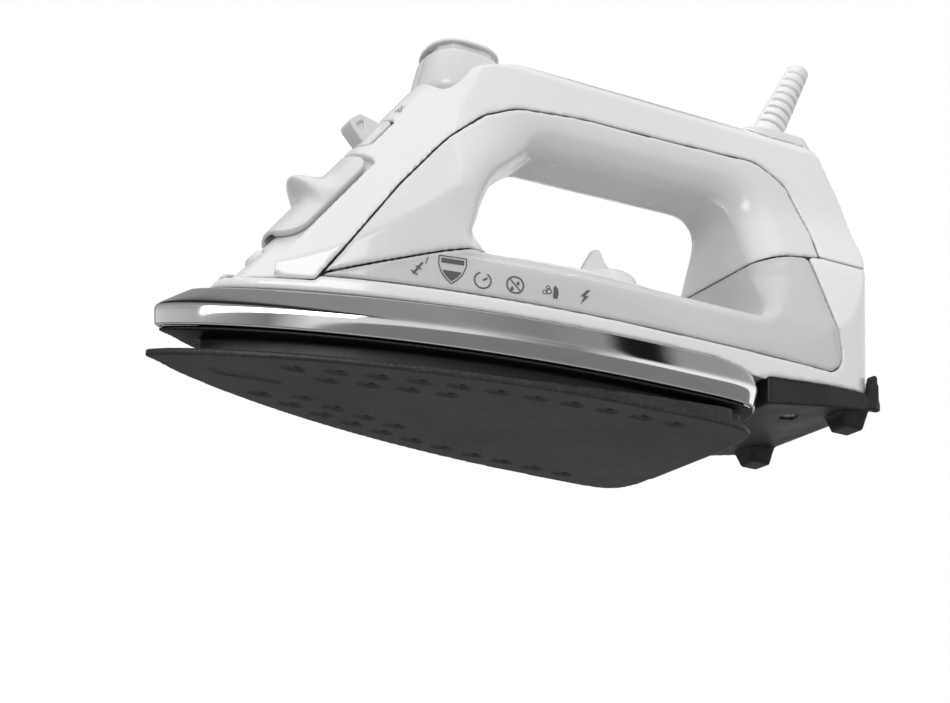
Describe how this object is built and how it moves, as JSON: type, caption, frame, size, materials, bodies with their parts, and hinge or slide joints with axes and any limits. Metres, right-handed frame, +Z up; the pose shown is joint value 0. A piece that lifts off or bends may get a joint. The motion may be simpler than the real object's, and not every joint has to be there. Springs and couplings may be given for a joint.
{
  "type": "steam iron",
  "caption": "Hand steam iron: pointed soleplate, see-through water tank, closed-loop handle with push buttons, steam lever, sliding fill door, temperature dial and swivelling cord guard",
  "frame": {"origin": "on the plane the soleplate rests on, under the middle of the whole iron's box", "axes": "+X forward to the nose, +Y to the iron's left, +Z up out of the soleplate"},
  "size_m": [0.2742, 0.1042, 0.1835],
  "materials": {
    "sole": "charcoal non-stick coating, fine speckled texture",
    "chrome": "bright chrome-plated plastic",
    "white_plastic": "glossy moulded white",
    "pearl_plastic": "soft pearl light grey, satin",
    "tank": "translucent smoky grey, glossy",
    "black_plastic": "matte black, fine grain",
    "guard": "satin white flexible plastic",
    "silicone": "milky silicone rubber",
    "steel": "plain drawn or pressed steel",
    "brass": "plain turned",
    "lens": "clear, polished",
    "lamp": "red neon envelope",
    "board": "green circuit board",
    "lead": "heat-proof sleeve",
    "pump_piston": "plain moulded grey"
  },
  "bodies": {
    "root": {"auto_off_board": "board", "auto_off_relay": "black_plastic", "burst_tube": "silicone", "button_housing": "pearl_plastic", "chrome_trim": "chrome", "cord_clamp": "black_plastic", "cord_collar": "white_plastic", "drip_nozzle": "brass", "earth_lead": "lead", "fill_funnel": "tank", "floor_screws": "steel", "handle_grip": "pearl_plastic", "heat_shield": "black_plastic", "heating_element": "steel", "heel_plate": "black_plastic", "heel_screws": "steel", "indicator_lamp": "lamp", "indicator_lens": "lens", "lever_pivot": "white_plastic", "live_lead": "lead", "lower_body": "white_plastic", "neutral_lead": "lead", "saddle_cover": "white_plastic", "shaft_sleeve": "black_plastic", "sole_screws": "steel", "soleplate": "sole", "spray_check_valve": "steel", "spray_nozzle": "pearl_plastic", "spray_pump_cylinder": "tank", "spray_pump_spring": "steel", "spray_suction_tube": "silicone", "spray_tube": "silicone", "steam_chamber_cover": "steel", "steam_check_valve": "steel", "steam_pump_cylinder": "tank", "steam_pump_spring": "steel", "steam_suction_tube": "silicone", "steam_valve_seat": "silicone", "tank_base": "tank", "tank_gasket": "silicone", "terminal_block": "black_plastic", "thermal_fuse": "steel", "thermostat": "steel", "upper_shell": "white_plastic", "water_tank": "tank"},
    "dial": {"temperature_dial": "white_plastic", "thermostat_shaft": "black_plastic"},
    "lever": {"steam_lever": "pearl_plastic"},
    "door": {"fill_door": "pearl_plastic"},
    "steam_push": {"steam_button": "white_plastic", "steam_pump_piston": "pump_piston"},
    "spray_push": {"spray_button": "white_plastic", "spray_pump_piston": "pump_piston"},
    "guard": {"cord_guard": "guard"},
    "valve": {"steam_valve_rod": "steel"}
  },
  "joints": [
    {"name": "dial_turn", "type": "hinge", "parent": "root", "child": "dial", "pos_m": [-0.036, 0, 0.058], "axis": [0, 0, 1], "range_deg": [-290, 0]},
    {"name": "lever_swing", "type": "hinge", "parent": "root", "child": "lever", "pos_m": [0.05451, 0, 0.08805], "axis": [-0.5835, 0, 0.8121], "range_deg": [-14, 14]},
    {"name": "valve_lift", "type": "slide", "parent": "root", "child": "valve", "axis": [0, 0, 1], "range_m": [-0.001, 0.001]},
    {"name": "door_slide", "type": "slide", "parent": "root", "child": "door", "axis": [0.5835, 0, -0.8121], "range_m": [0, 0.02]},
    {"name": "steam_push", "type": "slide", "parent": "root", "child": "steam_push", "axis": [0, 0, -1], "range_m": [0, 0.003], "stiffness_N_per_m": 900, "springref_m": -0.003, "deforming": ["steam_pump_spring"]},
    {"name": "spray_push", "type": "slide", "parent": "root", "child": "spray_push", "axis": [0, 0, -1], "range_m": [0, 0.003], "stiffness_N_per_m": 900, "springref_m": -0.003, "deforming": ["spray_pump_spring"]},
    {"name": "guard_swivel", "type": "hinge", "parent": "root", "child": "guard", "pos_m": [-0.1065, 0, 0.1432], "axis": [-0.4226, 0, 0.9063], "range_deg": [-170, 170]}
  ],
  "couplings": [
    {"joint": "valve_lift", "follows": "lever_swing", "m_per_rad": 0.004072}
  ]
}
